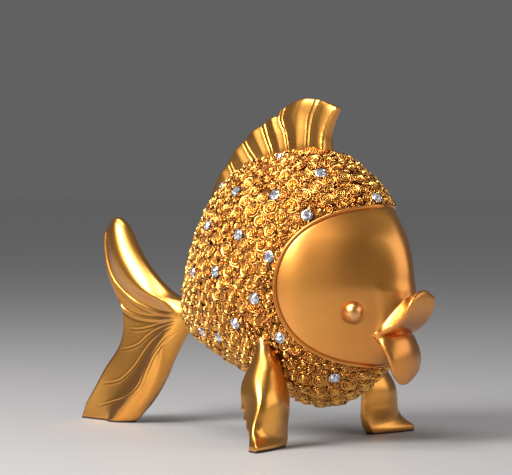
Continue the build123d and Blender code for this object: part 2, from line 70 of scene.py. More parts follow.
# Nose: how much wider the front of the head gets, how far back that reaches, and between which heights
NOSE_FULLNESS = 0.38
NOSE_REACH = 9.0
NOSE_RISES = (68, 82)
NOSE_FADES = (103, 115)
NOSE_HEIGHTS = np.arange(64.0, 119.0, 1.0)

# Lips: where they stand out from the face, where their tips are, and where fillets join them to it
FACE_VOXEL = 0.45
MOUTH_HEIGHT = 56.0
LIP_START_X = (98, 102)
LIP_TOP_FADES = (78, 84)
LIP_FRONT_X = (100, 105)
LIP_FRONT_FADES = (80, 84)
LIP_TIP_Y = (15, 22)
LIP_TIP_RISES = (MOUTH_HEIGHT + 5, MOUTH_HEIGHT + 9)
LIP_THICKENING = 0.75
FILLET_START_X = (84, 91)
FILLET_FADES_Y = (20, 26)
UPPER_FILLET_RISES = (MOUTH_HEIGHT + 2.0, MOUTH_HEIGHT + 4.5)
UPPER_FILLET_FADES = (84, 92)
LOWER_FILLET_RISES = (24, 30)
LOWER_FILLET_FADES = (MOUTH_HEIGHT - 4.0, MOUTH_HEIGHT - 1.2)
FILLET_STEPS = 600
LIP_FRONT_STEPS = 16
LIP_STEPS = 30
LIP_TIP_STEPS = 70
FACE_STEPS = 24
FACE_CAST_STEPS = 8
FACE_LAST_STEPS = 3

# Eyes: the ball's profile goes on under the face as a short skirt
EYE_RADIUS = 4.95
EYE_RINGS = 20
EYE_SIDES = 48
EYE_SKIRT = [(EYE_RADIUS, -0.4), (EYE_RADIUS - 0.6, -0.8)]
EYE_GROOVE_FADES = (7.5, 9.5)
EYE_GROOVE_STEPS = 10

# Tail fin, as x and z: two raised beads, then the veins of the lower fan and the edge of its front bar
FIN_VOXEL = 0.42
HORN_BEAD = [
    (-97.6, 107.5), (-98.2, 103.5), (-98.0, 95.4), (-95.6, 86.4), (-91.0, 78.1), (-83.4, 71.7),
    (-72.2, 65.6), (-59.2, 61.9), (-48.0, 60.8), (-40.5, 60.7),
]
SECOND_BEAD = [
    (-90.3, 69.6), (-85.9, 63.2), (-80.0, 60.0), (-71.7, 58.1), (-61.6, 57.5), (-52.9, 57.8),
    (-40.0, 59.4),
]
TAIL_VEINS = [
    [(-81.0, 51.5), (-72.3, 51.6), (-63.0, 53.4), (-55.2, 55.3), (-39.0, 58.0)],
    [
        (-87.6, 39.9), (-79.8, 41.0), (-72.3, 43.6), (-66.3, 47.8), (-58.4, 51.8), (-47.3, 54.9),
        (-38.5, 57.0),
    ],
    [
        (-102.3, 20.2), (-92.9, 21.4), (-84.9, 23.9), (-74.9, 31.6), (-69.2, 38.1), (-61.4, 45.4),
        (-49.8, 51.7), (-38.2, 55.9),
    ],
    [
        (-110.3, 5.8), (-95.2, 9.8), (-77.8, 14.8), (-68.6, 21.2), (-64.1, 29.6), (-59.5, 37.3),
        (-53.2, 44.2), (-46.5, 50.0), (-38.0, 55.0),
    ],
    [
        (-73.8, 15.1), (-66.4, 20.2), (-61.4, 29.6), (-56.6, 37.6), (-51.0, 43.9), (-44.9, 49.4),
        (-37.6, 54.0),
    ],
]
BAR_EDGE = [
    (-47.5, 50.0), (-51.0, 42.4), (-53.0, 36.0), (-57.0, 26.4), (-62.2, 18.3), (-68.6, 10.8),
    (-74.0, 6.0),
]

# Relief on the tail's lines: height and half width of each, how far it lies from its line, and the shares
# of the line over which it fades in and out
HORN_BEAD_FORM = (0.85, 0.80)
SECOND_BEAD_FORM = (0.55, 0.62)
BEAD_VALLEY = (0.2, 0.7, 1.7)
BEAD_TAPERS = (0.16, 0.12)
VEIN_LIP = (0.10, 0.5, 0.8)
VEIN_GROOVE = (0.27, 0.45)
VEIN_TAPERS = (0.22, 0.20)
BAR_EDGE_FORM = (0.6, 1.3)
BAR_EDGE_TAPERS = (0.2, 0.2)
TAIL_FILL_FROM = (1.5, 4)
TAIL_SOFT_FROM = (2, 5)
TAIL_LINES_FROM = (3, 6)
TAIL_FACING = (0.2, 0.5)
TAIL_CAST_STEPS = 6
TAIL_FILL_STEPS = 400
TAIL_STEPS = 24

# The lower rear corner of the tail turns out to the right side
CURL_AMOUNT = 2.6
CURL_START_X = -88
CURL_RUN = 22
CURL_RISES = (3, 26)
CURL_FADES = (36, 56)

# Ribs of the back fin, as x and z: pairs of fine engraved lines, with panels that swell between them
FIN_RIBS = [
    (
        [
            (53.2, 177.0), (51.7, 173.2), (50.2, 169.5), (48.7, 166.1), (47.9, 162.2), (47.5, 158.6),
            (47.5, 145.0),
        ],
        [(48.5, 173.5), (46.8, 169.3), (45.6, 166.1), (45.1, 162.3), (45.1, 157.7), (44.8, 145.0)],
    ),
    (
        [
            (31.6, 174.5), (30.4, 171.2), (29.1, 168.0), (28.8, 164.4), (30.4, 160.2), (32.1, 156.5),
            (35.2, 144.0),
        ],
        [(29.8, 173.5), (26.8, 167.6), (26.4, 164.4), (28.0, 161.1), (30.0, 157.9), (33.6, 144.0)],
    ),
    (
        [(16.8, 162.0), (19.0, 156.2), (20.7, 152.5), (22.3, 149.2), (24.2, 143.0)],
        [(14.4, 160.6), (17.2, 154.8), (18.9, 151.5), (20.7, 147.8), (22.4, 142.5)],
    ),
    (
        [(2.0, 156.2), (6.2, 150.3), (8.8, 147.4), (11.3, 144.4), (13.8, 139.5)],
        [(0.2, 154.2), (4.5, 148.4), (6.7, 145.6), (9.2, 142.8), (11.4, 138.5)],
    ),
    (
        [(-6.2, 142.5), (-3.1, 137.9), (0.8, 132.0)],
        [(-8.2, 141.2), (-5.2, 136.7), (-1.6, 131.0)],
    ),
]
RIB_DEPTH = 0.24
RIB_HALF_WIDTH = 0.42
PANEL_SWELL = 0.75
PANEL_RISES = (0.2, 7.0)
FIN_FRONT_X = (53.5, 57)
FIN_FILL_FACING = (0.2, 0.5)
FIN_SOFT_FACING = (0.3, 0.6)
FIN_LINES_FACING = (0.3, 0.7)
FIN_CAST_STEPS = 4
FIN_FILL_STEPS = 200
FIN_PANEL_STEPS = 90
FIN_EDGE_STEPS = 12
FIN_FRONT_STEPS = 24

# The ridge down the front of the left chest fin, as x, y and z, and the crowned panel beside it
LEG_RIDGE = [
    (47.5, 39.6, 53.2), (50.3, 45.9, 44.2), (53.4, 52.7, 34.4), (58.4, 54.1, 28.4), (60.3, 55.9, 22.8),
    (58.8, 59.2, 16.6), (59.0, 60.8, 10.3), (59.8, 64.4, 2.3),
]
LEG_RIDGE_SPOTS = 12
LEG_RIDGE_REACH = 4.5
LEG_FILL_FROM = (2, 7)
LEG_SOFT_FROM = (1.5, 6)
LEG_SOFT_FADES = (46, 54)
LEG_RIDGE_FROM = (3, 8)
LEG_PANEL_FROM = (5, 12)
LEG_TOP_FADES = (44, 52)
LEG_PANEL_FACING = (0.3, 0.6)
LEG_CROWN_FACING = (0.3, 0.8)
LEG_CAST_STEPS = 5
LEG_LAST_STEPS = 8
LEG_FILL_STEPS = 300
LEG_STEPS = 40
LEG_RIDGE_STEPS = 300
LEG_PANEL_STEPS = 200
LEG_CROWN = 2.6
LEG_CROWN_INNER_Y = 31.5
LEG_CROWN_WIDTH = 27.0
LEG_CROWN_RISES = (4, 14)
LEG_CROWN_FADES = (38, 50)

# Notches in the trailing edge of each chest fin: the height of each tip, how far the edge above it takes
# to run back in, where its lower edge lies, how deep into the fin it is felt, and the push at the tip
NOTCHES = (19.5, 14.5, 9.5)
NOTCH_RUN = 4.2
NOTCH_LOWER_EDGE = (-0.5, 0.3)
NOTCH_DEPTH_X = (0.4, 3.5)
NOTCH_PUSH = np.array((-1.3, 0.0, -0.5))

# Heights at which the trailing edge is measured, and the furthest forward that it may lie
LEG_HEIGHTS = np.arange(0.0, 60.0, 1.0)
LEG_BEHIND_X = 50.0

# Roses. Each filler row holds radius, height, spacing, tries, and the highest and widest direction tried;
# the last row fills the chin, under the face.
ROSE_RADIUS = 3.85
ROSE_HEIGHT = 2.0
FILLER_ROSES = [
    (2.7, 1.75, 0.80, 9000, 1.0, pi),
    (2.0, 1.45, 0.78, 12000, 1.0, pi),
    (1.3, 1.25, 0.71, 16000, 1.0, pi),
    (1.0, 1.15, 0.66, 20000, 1.0, pi),
    (1.0, 1.15, 0.66, 9000, 0.0, 0.9),
]
FACE_ROOM = 0.7
FACE_ROOM_FROM = 1.3
NEIGHBOUR_ROOM = 0.45
BODY_STRETCH = 1.25
ROSE_BATCH = 1200
ROSE_TILT = 0.12
FILLER_TILT = 0.32
COPY_SIZES = (0.95, 1.08)
COPY_HEIGHTS = (0.78, 1.12)
FIN_SEARCH = 10.0
CELL = 8.0

# Rings of petals of a rose of unit radius: radius, petals, height, lean and steps along each petal
LARGE_RINGS = ((0.27, 2, 0.95, 0.05, 6), (0.48, 3, 0.84, 0.12, 7), (0.74, 4, 0.62, 0.20, 6))
SMALL_RINGS = ((0.34, 2, 0.92, 0.10, 6), (0.70, 3, 0.66, 0.22, 7))
CURL_RINGS = ((0.55, 2, 0.85, 0.28, 6),)
PETAL_WALL = 0.07
PETAL_ROOT = -0.15
RING_TURN = 0.9
PETAL_SHIFT = 0.15
PETAL_SWEEPS = (1.25, 1.5)
PETAL_HEIGHTS = (0.88, 1.06)
PETAL_PLACES = (0.93, 1.05)
BUD_PROFILE = ((0.10, 0.92), (0.16, 0.72), (0.20, 0.25), (0.60, 0.10), (0.97, -0.60))
ROSE_SIDES = 10
CURL_SIDES = 6

# Set stones and their cups
STONE_RADIUS = 2.35
STONE_GIRDLE = 0.55
STONE_TABLE_HEIGHT = 1.75
STONE_TABLE_SHARE = 0.52
STONE_KITE_SHARE = 0.78
STONE_KITE_RISE = 0.58
CUP_RADIUS = 3.0
CUP_SIDES = 24
CUP_PROFILE = (
    (CUP_RADIUS - 0.25, -0.40),
    (CUP_RADIUS, -0.25),
    (CUP_RADIUS, 0.55),
    (CUP_RADIUS - 0.15, 0.75),
    (CUP_RADIUS - 0.42, 0.78),
    (CUP_RADIUS - 0.58, 0.62),
    (CUP_RADIUS - 0.62, -0.05),
)
CLAWS = 6
CLAW_STATIONS = (
    (CUP_RADIUS - 0.05, 0.45, 0.34),
    (CUP_RADIUS - 0.20, 1.00, 0.30),
    (CUP_RADIUS - 0.95, 1.18, 0.20),
)
CLAW_THICKNESS = 0.22
CLAW_SLOPE = 0.6
CLAW_TURN = 0.2
COPY_TURN = 0.7

# Paint: scales are in waves per metre, depths in metres
DRIFT_SCALE = 24.0
GRAIN_SCALE = 1400.0
GRAIN_DEPTH = 0.0001
LACQUER_ROUGHNESS = 0.28
SHEEN_SPREAD = (-0.03, 0.05)
MOTTLE = 0.15
FELT_SCALE = 1500.0
FELT_DEPTH = 0.0003

# Room: the light on the object, the shade that the camera and the gold see, and the floor
ROOM_LIGHT = (0.36, 0.36, 0.365, 1)
ROOM_SHADE = (0.122, 0.119, 0.120, 1)
FLOOR_COLOUR = (0.36, 0.353, 0.350, 1)
FLOOR_ROUGHNESS = 0.5
FLOOR_REACH = 9

# Lamps, in metres and watts: how far to the camera's right, towards the camera and up, size and power
LAMPS = [
    ("key_light", -0.66, 0.56, 0.70, (0.50, 0.50), 20),
    ("right_reflector", 0.95, 0.38, 0.45, (1.00, 0.70), 3.0),
    ("top_light", -0.30, 0.15, 1.15, (0.50, 0.40), 6),
]

# Camera, in degrees and metres; its sensor and lens are in millimetres
CAMERA_AZIMUTH = 39.93
CAMERA_ELEVATION = 1.55
CAMERA_DISTANCE = 1.2
CAMERA_TARGET = Vector((0.00905, 0.0, 0.10303))
SENSOR_WIDTH = 36.0
LENS = 161.33

FAR = 1e9
WELD_DISTANCE = 1e-6
LEAST_WEIGHT = 0.001
RELAX_PULLS = (0.5, -0.51)
SOFTEN_PULL = 0.5
FILL_PULL = 0.9
FILL_NORMALS_AGE = 8
rng = np.random.default_rng(11)


# Curves of influence


def rise(value, span):
    """0 before the span, 1 past it, and smooth in it."""
    t = ((value - span[0]) / (span[1] - span[0])).clip(0, 1)
    return t * t * (3 - 2 * t)


def fall(value, span):
    """1 before the span, 0 past it, and smooth in it."""
    return rise(-value, (-span[1], -span[0]))


def taper(share, ends):
    """Fades in over the first share of a line and out over the last."""
    return rise(share, (0.0, ends[0])) * fall(share, (1.0 - ends[1], 1.0))


def ridge(distance, half_width):
    """A rounded ridge: 1 on the line, and nothing a little past half_width."""
    return np.exp(-((distance / half_width) ** 2))


def smooth_line(points, steps=10):
    """A smooth line through points, as many short runs."""
    points = np.asarray(points, float)
    padded = np.vstack([2 * points[0] - points[1], points, 2 * points[-1] - points[-2]])
    t = np.linspace(0, 1, steps, endpoint=False)[:, None]
    runs = []
    for a, b, c, d in zip(padded, padded[1:], padded[2:], padded[3:]):
        square = (2 * a - 5 * b + 4 * c - d) * t**2
        cube = (3 * b - a - 3 * c + d) * t**3
        runs.append(0.5 * (2 * b + (c - a) * t + square + cube))
    return np.vstack([*runs, points[-1:]])


def line_distance(verts, points):
    """Each vertex's distance from a line in side view, and the share of the line before that place."""
    flat = verts[:, (0, 2)]
    line = smooth_line(points)
    best = np.full(len(flat), FAR)
    share = np.zeros(len(flat))
    for step, (start, end) in enumerate(zip(line, line[1:])):
        run = end - start
        along = ((flat - start) @ run / (run @ run)).clip(0, 1)
        distance = np.linalg.norm(flat - start - along[:, None] * run, axis=1)
        nearer = distance < best
        best[nearer] = distance[nearer]
        share[nearer] = (step + along[nearer]) / (len(line) - 1)
    return best, share


# Meshes


def add_object(name, mesh):
    """A new object in the scene with that mesh."""
    piece = bpy.data.objects.new(name, mesh)
    bpy.context.scene.collection.objects.link(piece)
    return piece


def add_mesh(name, verts, faces, smooth=True):
    """A new object from vertices in millimetres and faces."""
    mesh = bpy.data.meshes.new(name)
    mesh.from_pydata((np.asarray(verts, float) * MM).tolist(), [], faces)
    mesh.update()
    if smooth:
        mesh.shade_smooth()
    return add_object(name, mesh)


def get_verts(mesh):
    """The mesh's vertices in millimetres."""
    verts = np.empty(len(mesh.vertices) * 3, np.float32)
    mesh.vertices.foreach_get("co", verts)
    return verts.reshape(-1, 3).astype(float) / MM


def set_verts(mesh, verts):
    """Moves the mesh's vertices to places in millimetres."""
    mesh.vertices.foreach_set("co", (verts * MM).astype(np.float32).ravel())
    mesh.update()


def get_normals(mesh):
    """The mesh's vertex normals."""
    normals = np.empty(len(mesh.vertices) * 3, np.float32)
    mesh.vertex_normals.foreach_get("vector", normals)
    return normals.reshape(-1, 3).astype(float)


def get_edges(mesh):
    """The mesh's edges as pairs of vertices."""
    edges = np.empty(len(mesh.edges) * 2, np.int32)
    mesh.edges.foreach_get("vertices", edges)
    return edges.reshape(-1, 2)


def push_out(mesh, amounts):
    """Moves each vertex along its normal by its own amount."""
    set_verts(mesh, get_verts(mesh) + get_normals(mesh) * amounts[:, None])


class Neighbours:
    """The neighbours of a mesh's chosen vertices, ready for their middles."""

    def __init__(self, mesh, chosen):
        edges = get_edges(mesh)
        row_of = np.full(len(mesh.vertices), -1)
        row_of[chosen] = np.arange(len(chosen))
        pairs = np.vstack([edges, edges[:, ::-1]])
        pairs = pairs[row_of[pairs[:, 0]] >= 0]
        self.rows = row_of[pairs[:, 0]]
        self.others = pairs[:, 1]
        self.size = len(chosen)
        self.count = np.bincount(self.rows, minlength=self.size)[:, None].clip(1)

    def means(self, verts):
        """The middle of each chosen vertex's neighbours."""
        sums = [np.bincount(self.rows, verts[self.others, axis], self.size) for axis in range(3)]
        return np.stack(sums, 1) / self.count


def relax(mesh, steps):
    """Softens edges and noise, drawing each vertex in and then back out, so little volume is lost."""
    near = Neighbours(mesh, np.arange(len(mesh.vertices)))
    verts = get_verts(mesh)
    for step in range(steps):
        for pull in RELAX_PULLS:
            verts = verts + pull * (near.means(verts) - verts)
    set_verts(mesh, verts)


def fill_creases(mesh, steps, weight):
    """Fills hollow creases with a soft fillet and leaves outer edges crisp, where weight is over 0."""
    chosen = np.flatnonzero(weight > LEAST_WEIGHT)
    near = Neighbours(mesh, chosen)
    share = weight[chosen]
    verts = get_verts(mesh)
    for step in range(steps):
        if step % FILL_NORMALS_AGE == 0:
            set_verts(mesh, verts)
            normals = get_normals(mesh)[chosen]
        pull = near.means(verts) - verts[chosen]
        outward = (pull * normals).sum(1).clip(0, None)
        verts[chosen] += normals * (outward * share * FILL_PULL)[:, None]
    set_verts(mesh, verts)


def soften(mesh, steps, weight):
    """Rounds edges and corners, where weight is over 0."""
    chosen = np.flatnonzero(weight > LEAST_WEIGHT)
    near = Neighbours(mesh, chosen)
    verts = get_verts(mesh)
    for step in range(steps):
        verts[chosen] += SOFTEN_PULL * weight[chosen, None] * (near.means(verts) - verts[chosen])
    set_verts(mesh, verts)


def welded(name, *node_names):
    """A mesh of CAD nodes with the points that share a place made one."""
    maker = bmesh.new()
    for node_name in node_names:
        maker.from_mesh(nodes[node_name].data)
    bmesh.ops.remove_doubles(maker, verts=maker.verts, dist=WELD_DISTANCE)
    mesh = bpy.data.meshes.new(name)
    maker.to_mesh(mesh)
    maker.free()
    return mesh


def cast_copy(name, voxel, steps, *node_names):
    """The union of CAD nodes as one even mesh with softened edges, as in a casting."""
    piece = add_object(name, welded(name, *node_names))
    remesh = piece.modifiers.new("even", "REMESH")
    remesh.mode = "VOXEL"
    remesh.voxel_size = voxel * MM
    shown = piece.evaluated_get(bpy.context.evaluated_depsgraph_get())
    even = bpy.data.meshes.new_from_object(shown)
    piece.modifiers.clear()
    piece.data = even
    even.name = name
    even.materials.clear()
    relax(even, steps)
    even.shade_smooth()
    return piece


def tree_of(*node_names):
    """A search tree over CAD nodes, in metres."""
    verts, faces = [], []
    for node_name in node_names:
        mesh = nodes[node_name].data
        start = len(verts)
        verts += [vertex.co.copy() for vertex in mesh.vertices]
        faces += [[start + index for index in face.vertices] for face in mesh.polygons]
    return BVHTree.FromPolygons(verts, faces)


def around(radius, height, count, start=0.0):
    """Points round the z axis."""
    angles = [2 * pi * (k + start) / count for k in range(count)]
    return [(radius * cos(angle), radius * sin(angle), height) for angle in angles]


def turned_form(tip, profile, sides):
    """A round form: a tip on the axis, then rings down the profile, each a radius and a height."""
    verts = [(0.0, 0.0, tip)]
    for radius, height in profile:
        verts += around(radius, height, sides)
    faces = [(0, 1 + k, 1 + (k + 1) % sides) for k in range(sides)]
    for row in range(len(profile) - 1):
        for k in range(sides):
            a = 1 + row * sides + k
            b = 1 + row * sides + (k + 1) % sides
            faces.append((a, a + sides, b + sides, b))
    return verts, faces


# Materials


def new_material(name):
    """A node material, its shader, and the makers of its nodes and links."""
    material = bpy.data.materials.new(name)
    material.use_nodes = True
    tree = material.node_tree
    return material, tree.nodes["Principled BSDF"], tree.nodes.new, tree.links.new


def ramp(node, *stops):
    """Sets a colour ramp's stops, each a position and a colour."""
    elements = node.color_ramp.elements
    while len(elements) < len(stops):
        elements.new(0.5)
    for element, (position, colour) in zip(elements, stops):
        element.position = position
        element.color = (*colour, 1)
    return node


def noise(add, scale, detail):
    """A noise texture node."""
    node = add("ShaderNodeTexNoise")
    node.inputs["Scale"].default_value = scale
    node.inputs["Detail"].default_value = detail
    return node


def bump(add, link, shader, height, strength, depth):
    """Gives the shader fine relief from a height."""
    relief = add("ShaderNodeBump")
    relief.inputs["Strength"].default_value = strength
    relief.inputs["Distance"].default_value = depth
    link(height, relief.inputs["Height"])
    link(relief.outputs["Normal"], shader.inputs["Normal"])


def gold_paint(name, bright, deep, roughness, lacquer=0.9, grain_strength=0.05, lift=False):
    """Satin metallic paint under a thin lacquer, with a slow drift of tone and sheen and a fine grain.
    With lift, its colour follows how far the casting's relief stands out: the deep colour low in the relief
    is a painted shade of its hollows, and the bright colour is on its tips."""
    material, shader, add, link = new_material(name)
    place = add("ShaderNodeTexCoord")
    drift = noise(add, DRIFT_SCALE, 4.0)
    link(place.outputs["Object"], drift.inputs["Vector"])
    if lift:
        height = add("ShaderNodeAttribute")
        height.attribute_name = "lift"
        mottled = add("ShaderNodeMix")
        mottled.inputs["Factor"].default_value = MOTTLE
        link(height.outputs["Fac"], mottled.inputs["A"])
        link(drift.outputs["Fac"], mottled.inputs["B"])
        # Painted shade: the low parts of the relief take the deep colour, standing in for the shade in its
        # hollows.
        middle = tuple(0.5 * (a + b) for a, b in zip(bright, deep))
        hues = ramp(add("ShaderNodeValToRGB"), (0.14, deep), (0.50, middle), (0.80, bright))
        link(mottled.outputs["Result"], hues.inputs["Fac"])
    else:
        hues = ramp(add("ShaderNodeValToRGB"), (0.32, deep), (0.66, bright))
        link(drift.outputs["Fac"], hues.inputs["Fac"])
    link(hues.outputs["Color"], shader.inputs["Base Color"])
    sheen = add("ShaderNodeMapRange")
    sheen.inputs["To Min"].default_value = roughness + SHEEN_SPREAD[0]
    sheen.inputs["To Max"].default_value = roughness + SHEEN_SPREAD[1]
    link(drift.outputs["Fac"], sheen.inputs["Value"])
    link(sheen.outputs["Result"], shader.inputs["Roughness"])
    grain = noise(add, GRAIN_SCALE, 2.0)
    link(place.outputs["Object"], grain.inputs["Vector"])
    bump(add, link, shader, grain.outputs["Fac"], grain_strength, GRAIN_DEPTH)
    shader.inputs["Metallic"].default_value = 1.0
    shader.inputs["Coat Weight"].default_value = lacquer
    shader.inputs["Coat Roughness"].default_value = LACQUER_ROUGHNESS
    return material


def crystal_material():
    """Cut stone over a foil: bright, cool and sharp. Each facet takes a random tone from dark to near white,
    a painted reflection of the glints and darks that a cut stone mirrors.
    """
    material, shader, add, link = new_material("foiled_crystal_painted_reflections")
    place = add("ShaderNodeNewGeometry")
    # Painted reflection: a random tone for each facet, from dark blue-grey to near white, in place of what
    # the facet would reflect.
    tones = ramp(
        add("ShaderNodeValToRGB"),
        (0.0, (0.22, 0.26, 0.34)),
        (0.45, (0.66, 0.71, 0.80)),
        (1.0, (0.97, 0.97, 0.99)),
    )
    facets = add("ShaderNodeTexWhiteNoise")
    facets.noise_dimensions = "3D"
    link(place.outputs["True Normal"], facets.inputs["Vector"])
    link(facets.outputs["Value"], tones.inputs["Fac"])
    link(tones.outputs["Color"], shader.inputs["Base Color"])
    shader.inputs["Metallic"].default_value = 0.8
    shader.inputs["Roughness"].default_value = 0.05
    shader.inputs["Coat Weight"].default_value = 1.0
    shader.inputs["Coat Roughness"].default_value = 0.02
    return material


def felt_material():
    """Thin dark felt with a fibrous nap."""
    material, shader, add, link = new_material("dark_felt")
    fibres = noise(add, FELT_SCALE, 6.0)
    tones = ramp(add("ShaderNodeValToRGB"), (0.3, (0.018, 0.013, 0.010)), (0.7, (0.055, 0.040, 0.032)))
    link(fibres.outputs["Fac"], tones.inputs["Fac"])
    link(tones.outputs["Color"], shader.inputs["Base Color"])
    bump(add, link, shader, fibres.outputs["Fac"], 0.6, FELT_DEPTH)
    shader.inputs["Roughness"].default_value = 0.95
    return material


FIN_GOLD = gold_paint("fin_gold", (0.88, 0.39, 0.045), (0.78, 0.31, 0.032), 0.27)
FACE_GOLD = gold_paint("face_gold", (0.80, 0.33, 0.048), (0.71, 0.26, 0.034), 0.34)
EYE_GOLD = gold_paint("eye_gold", (0.86, 0.42, 0.13), (0.80, 0.36, 0.10), 0.34)
# The roses' gold: its deep colour is a painted shade, given to the low parts of the relief.
ROSE_GOLD_AND_SHADE = gold_paint("rose_gold_and_painted_shade", (1.0, 0.54, 0.10), (0.36, 0.090, 0.010), 0.23, 0.6, 0.10, lift=True)
# Painted shade: the body's skin under and between the roses is a dark brown, standing in for the shade in the
# gaps of the relief.
RECESS_SHADE = gold_paint("recess_painted_shade", (0.18, 0.055, 0.010), (0.08, 0.024, 0.005), 0.45, 0.0, 0.20)
PIN_STEEL = gold_paint("pin_steel", (0.62, 0.62, 0.64), (0.50, 0.50, 0.52), 0.30, 0.0)
CUP_SILVER = gold_paint("cup_silver", (0.78, 0.76, 0.74), (0.56, 0.54, 0.54), 0.18, 0.0)
CRYSTAL = crystal_material()
FELT = felt_material()


def dress(piece, material, slot_name, *replaced):
    """Gives a piece its material and its body, and hides the CAD nodes that it stands for. Its slot name is
    not used.
    """
    piece.data.materials.clear()
    piece.data.materials.append(material)
    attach(piece, "root")
    if replaced:
        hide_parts(*replaced)


def repaint(material, *node_names):
    """Gives CAD nodes that stay in view a new material."""
    for node_name in node_names:
        for place in nodes[node_name].material_slots:
            place.material = material


# Places and copies of repeated pieces


def island_labels(mesh):
    """For each vertex, the lowest number among the vertices of its loose part."""
    edges = get_edges(mesh)
    label = np.arange(len(mesh.vertices))
    while True:
        low = np.minimum(label[edges[:, 0]], label[edges[:, 1]])
        lower = label.copy()
        np.minimum.at(lower, edges[:, 0], low)
        np.minimum.at(lower, edges[:, 1], low)
        lower = lower[lower]
        if (lower == label).all():
            return label
        label = lower


def seats(node_name):
    """Foot and outward direction of each solid of a CAD node of small flat pieces."""
    mesh = welded("welded", node_name)
    verts = get_verts(mesh)
    label = island_labels(mesh)
    bpy.data.meshes.remove(mesh)
    found = []
    for name in np.unique(label):
        own = verts[label == name]
        middle = own.mean(0)
        axis = np.linalg.svd(own - middle)[2][2]
        if axis @ (middle - BODY_CENTRE) < 0:
            axis = -axis
        found.append((middle + axis * ((own - middle) @ axis).min(), axis))
    return found


def turned_frame(normal, spin):
    """Three directions with the last along normal, turned about it by spin."""
    side = np.cross(normal, (0.3, 0.5, 0.81))
    side /= np.linalg.norm(side)
    other = np.cross(normal, side)
    return np.stack([side * cos(spin) + other * sin(spin), other * cos(spin) - side * sin(spin), normal])


def scatter_mesh(name, parts, smooth=True):
    """One object from many copies, each as its vertices, faces and the lift of its vertices."""
    all_verts = np.vstack([verts for verts, faces, lift in parts])
    all_faces = []
    start = 0
    for verts, faces, lift in parts:
        all_faces += [tuple(start + corner for corner in face) for face in faces]
        start += len(verts)
    piece = add_mesh(name, all_verts, all_faces, smooth)
    lifts = piece.data.attributes.new("lift", "FLOAT", "POINT")
    lifts.data.foreach_set("value", np.concatenate([lift for verts, faces, lift in parts]).astype(np.float32))
    return piece


# Face and lips


def fill_nose(mesh):
    """Widens the front of the head above the lips, for a full nose, and returns the vertices."""
    mask_tree = tree_of("face_mask")
    fronts = []
    for height in NOSE_HEIGHTS:
        hit = mask_tree.ray_cast(Vector((AHEAD_OF_FACE, 0, height)) * MM, Vector((-1, 0, 0)))
        fronts.append(hit[0].x / MM if hit[0] else fronts[-1])
    verts = get_verts(mesh)
    setback = (np.interp(verts[:, 2], NOSE_HEIGHTS, fronts) - verts[:, 0]).clip(0, None)
    fullness = NOSE_FULLNESS * rise(verts[:, 2], NOSE_RISES) * fall(verts[:, 2], NOSE_FADES)
    verts[:, 1] *= 1 + fullness * np.exp(-setback / NOSE_REACH)
    set_verts(mesh, verts)
    return verts


def make_face():
    """Face and lips as one smooth casting, with fillets where the lips leave the face."""
    face = cast_copy("face", FACE_VOXEL, FACE_CAST_STEPS, "face_mask", "upper_lip", "lower_lip")
    mesh = face.data
    x, y, z = fill_nose(mesh).T
    near_lips = rise(x, FILLET_START_X) * fall(abs(y), FILLET_FADES_Y)
    above = rise(z, UPPER_FILLET_RISES) * fall(z, UPPER_FILLET_FADES)
    below = fall(z, LOWER_FILLET_FADES) * rise(z, LOWER_FILLET_RISES)
    soften(mesh, LIP_FRONT_STEPS, rise(x, LIP_FRONT_X) * fall(z, LIP_FRONT_FADES))
    fill_creases(mesh, FILLET_STEPS, near_lips * (above + below))

    verts = get_verts(mesh)
    x, y, z = verts.T
    lips = rise(x, LIP_START_X) * fall(z, LIP_TOP_FADES)
    soften(mesh, LIP_STEPS, lips)
    soften(mesh, LIP_TIP_STEPS, lips * rise(abs(y), LIP_TIP_Y) * rise(z, LIP_TIP_RISES))
    push_out(mesh, LIP_THICKENING * lips)

    around_eye = np.zeros(len(verts))
    for side in ("left", "right"):
        middle = get_verts(nodes[f"{side}_eye"].data).mean(0)
        around_eye += fall(np.linalg.norm(verts - middle, axis=1), EYE_GROOVE_FADES)
    fill_creases(mesh, EYE_GROOVE_STEPS, around_eye)
    soften(mesh, FACE_STEPS, (1 - around_eye).clip(0, 1) * (1 - lips))
    relax(mesh, FACE_LAST_STEPS)
    dress(face, FACE_GOLD, "gold_face", "face_mask", "upper_lip", "lower_lip")


# Eyes


def make_eye(side):
    """An eye: a smooth ball seated in the face's ring groove."""
    own = get_verts(nodes[f"{side}_eye"].data)
    middle = own.mean(0)
    outward = middle - BODY_CENTRE
    axes = np.linalg.svd(own - middle)[2]
    axis = max(axes, key=lambda candidate: abs(candidate @ outward))
    axis = axis if axis @ outward > 0 else -axis
    centre = middle + axis * (((own - middle) @ axis).max() - EYE_RADIUS)
    arcs = [0.5 * pi * step / EYE_RINGS for step in range(1, EYE_RINGS + 1)]
    profile = [(EYE_RADIUS * sin(arc), EYE_RADIUS * cos(arc)) for arc in arcs] + EYE_SKIRT
    verts, faces = turned_form(EYE_RADIUS, profile, EYE_SIDES)
    last = 1 + (len(profile) - 1) * EYE_SIDES
    faces.append(tuple(last + k for k in reversed(range(EYE_SIDES))))
    eye = add_mesh(f"{side}_eyeball", centre + np.array(verts) @ turned_frame(axis, 0), faces)
    dress(eye, EYE_GOLD, "gold_eyes", f"{side}_eye")


# Seam bead round the face


def face_skin(skin, angle, radius, side):
    """The skin at an angle round the face's axis, on one side: its place and normal, or None off the face."""
    x = FACE_CENTRE[0] + radius * cos(angle)
    z = FACE_CENTRE[1] + radius * sin(angle)
    start = Vector((x, side * BESIDE_FACE, z)) * MM
    hit = skin.ray_cast(start, Vector((0, -side, 0)), BESIDE_FACE_RANGE * MM)
    if hit[0] is None:
        return None
    return np.array(hit[0]) / MM, np.array(hit[1]) * (1 if hit[1].y * side > 0 else -1)


def evened(loop, rounds):
    """A closed loop of places and normals, drawn towards its neighbours' middles."""
    for step in range(rounds):
        loop = 0.5 * loop + 0.25 * (np.roll(loop, 1, 0) + np.roll(loop, -1, 0))
    return loop


